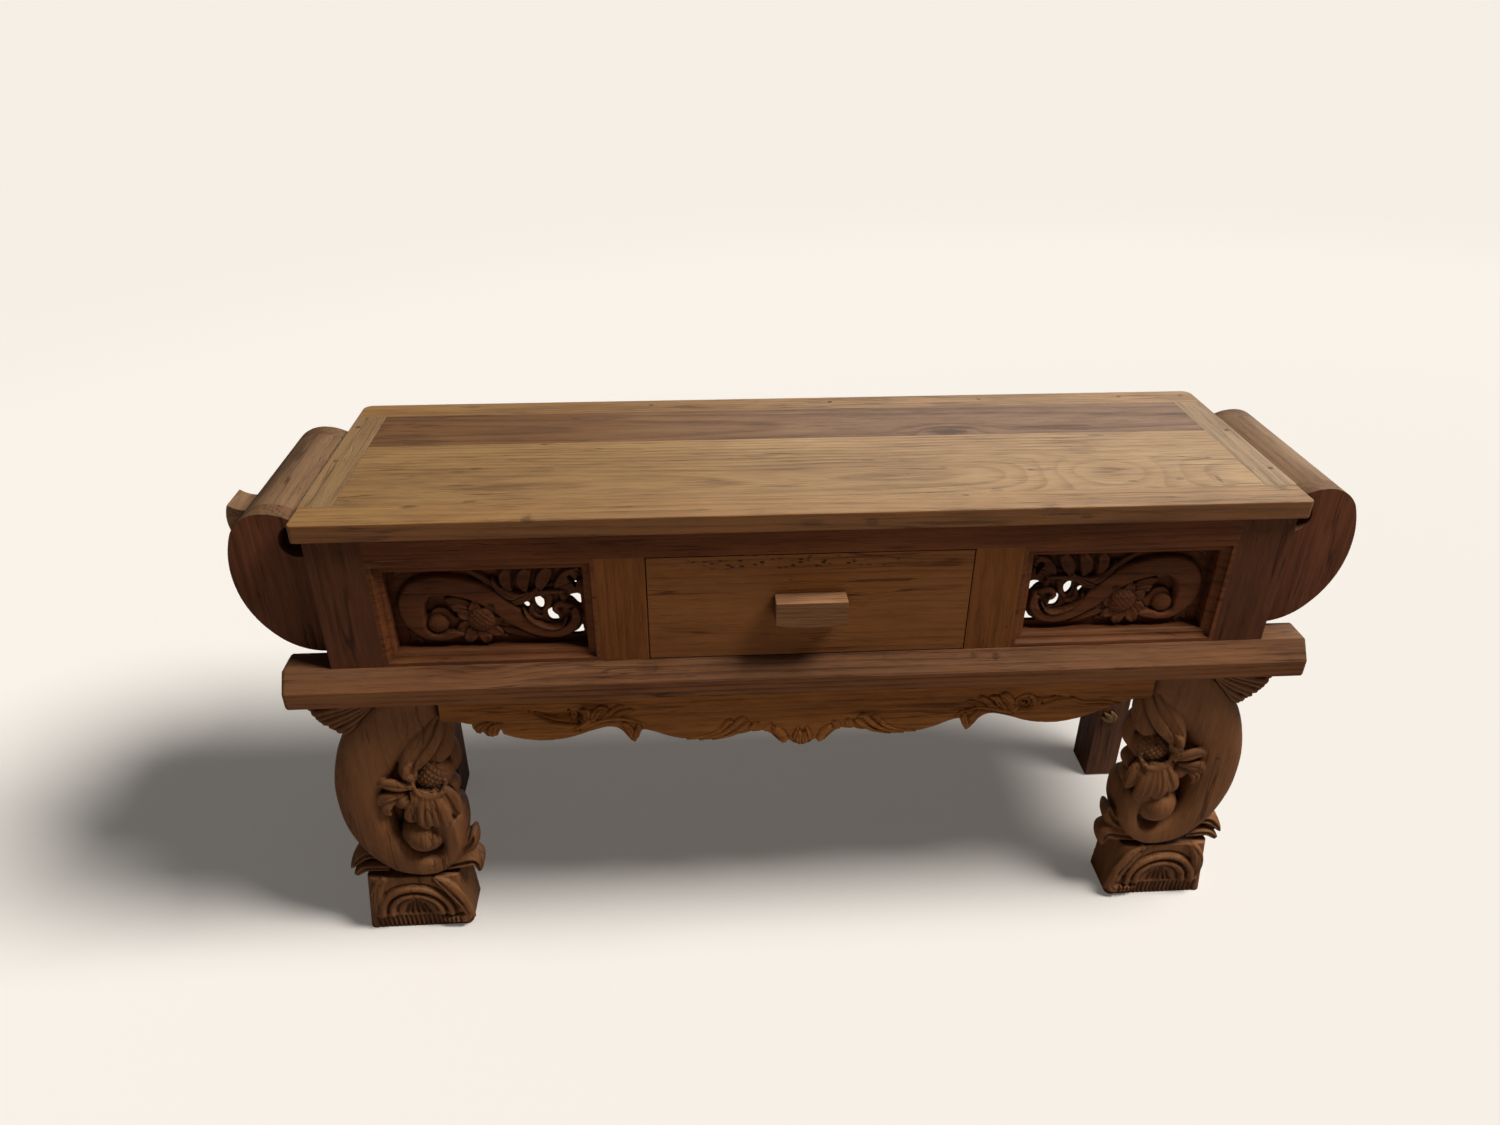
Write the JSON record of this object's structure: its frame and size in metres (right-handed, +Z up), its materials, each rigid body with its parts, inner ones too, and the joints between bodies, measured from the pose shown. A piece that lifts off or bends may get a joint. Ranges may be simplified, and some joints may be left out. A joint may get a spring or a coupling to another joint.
{
  "type": "altar table",
  "caption": "Console altar table on carved scroll legs, with a framed top, a centre drawer between pierced scroll panels, and rolled hollow wings at the ends.",
  "frame": {"origin": "on the floor, at the centre of the rectangle that the four feet stand on", "axes": "+Z up, +X to the right of someone facing the drawer, -Y towards that person, the way the drawer opens"},
  "size_m": [1.6246, 0.438, 0.787],
  "materials": {
    "teak_top_light": "satin waxed, worn",
    "teak_top_dark": "satin waxed, worn",
    "peg": "end grain, dark",
    "inner_wood": "planed, unfinished",
    "teak_case": "satin waxed",
    "teak_carving": "hand carved, matt wax in the grounds",
    "teak_beam": "satin waxed, weathered grain",
    "teak_apron": "satin waxed, hand carved",
    "teak_leg": "satin waxed, hand carved",
    "wing_board": "satin waxed",
    "wing_slat": "weathered, matt",
    "teak_drawer": "satin waxed"
  },
  "bodies": {
    "table": {"back_lower_board": "inner_wood", "back_upper_board": "inner_wood", "drawer_kicker": "inner_wood", "drawer_stops": "inner_wood", "front_apron": "teak_apron", "front_beam": "teak_beam", "front_top_rail": "teak_case", "left_bracket": "teak_apron", "left_carved_panel": "teak_carving", "left_drawer_guide": "inner_wood", "left_drawer_runner": "inner_wood", "left_end_rail": "teak_beam", "left_front_leg": "teak_leg", "left_front_stile": "teak_case", "left_middle_stile": "teak_case", "left_panel_moulding": "teak_case", "left_rear_leg": "teak_leg", "left_rear_post": "inner_wood", "left_side_board": "inner_wood", "left_wing_front_board": "wing_board", "left_wing_lower_slats": "wing_slat", "left_wing_rear_board": "wing_board", "left_wing_shoulder_slat": "wing_slat", "left_wing_spur": "wing_slat", "left_wing_top_slat": "wing_slat", "rear_beam": "teak_beam", "rear_top_rail": "inner_wood", "right_bracket": "teak_apron", "right_carved_panel": "teak_carving", "right_drawer_guide": "inner_wood", "right_drawer_runner": "inner_wood", "right_end_rail": "teak_beam", "right_front_leg": "teak_leg", "right_front_stile": "teak_case", "right_middle_stile": "teak_case", "right_panel_moulding": "teak_case", "right_rear_leg": "teak_leg", "right_rear_post": "inner_wood", "right_side_board": "inner_wood", "right_wing_front_board": "wing_board", "right_wing_lower_slats": "wing_slat", "right_wing_rear_board": "wing_board", "right_wing_shoulder_slat": "wing_slat", "right_wing_top_slat": "wing_slat", "top_back_rail": "teak_top_light", "top_battens": "inner_wood", "top_dark_plank": "teak_top_dark", "top_front_rail": "teak_top_light", "top_left_end_board": "teak_top_light", "top_pegs": "peg", "top_right_end_board": "teak_top_light", "top_wide_plank": "teak_top_light"},
    "drawer": {"drawer_front": "teak_drawer", "left_drawer_side": "inner_wood", "right_drawer_side": "inner_wood", "drawer_back": "inner_wood", "drawer_bottom": "inner_wood", "drawer_handle": "teak_drawer"}
  },
  "joints": [
    {"name": "drawer_slide", "type": "slide", "parent": "table", "child": "drawer", "axis": [0, -1, 0], "range_m": [0, 0.24]}
  ]
}
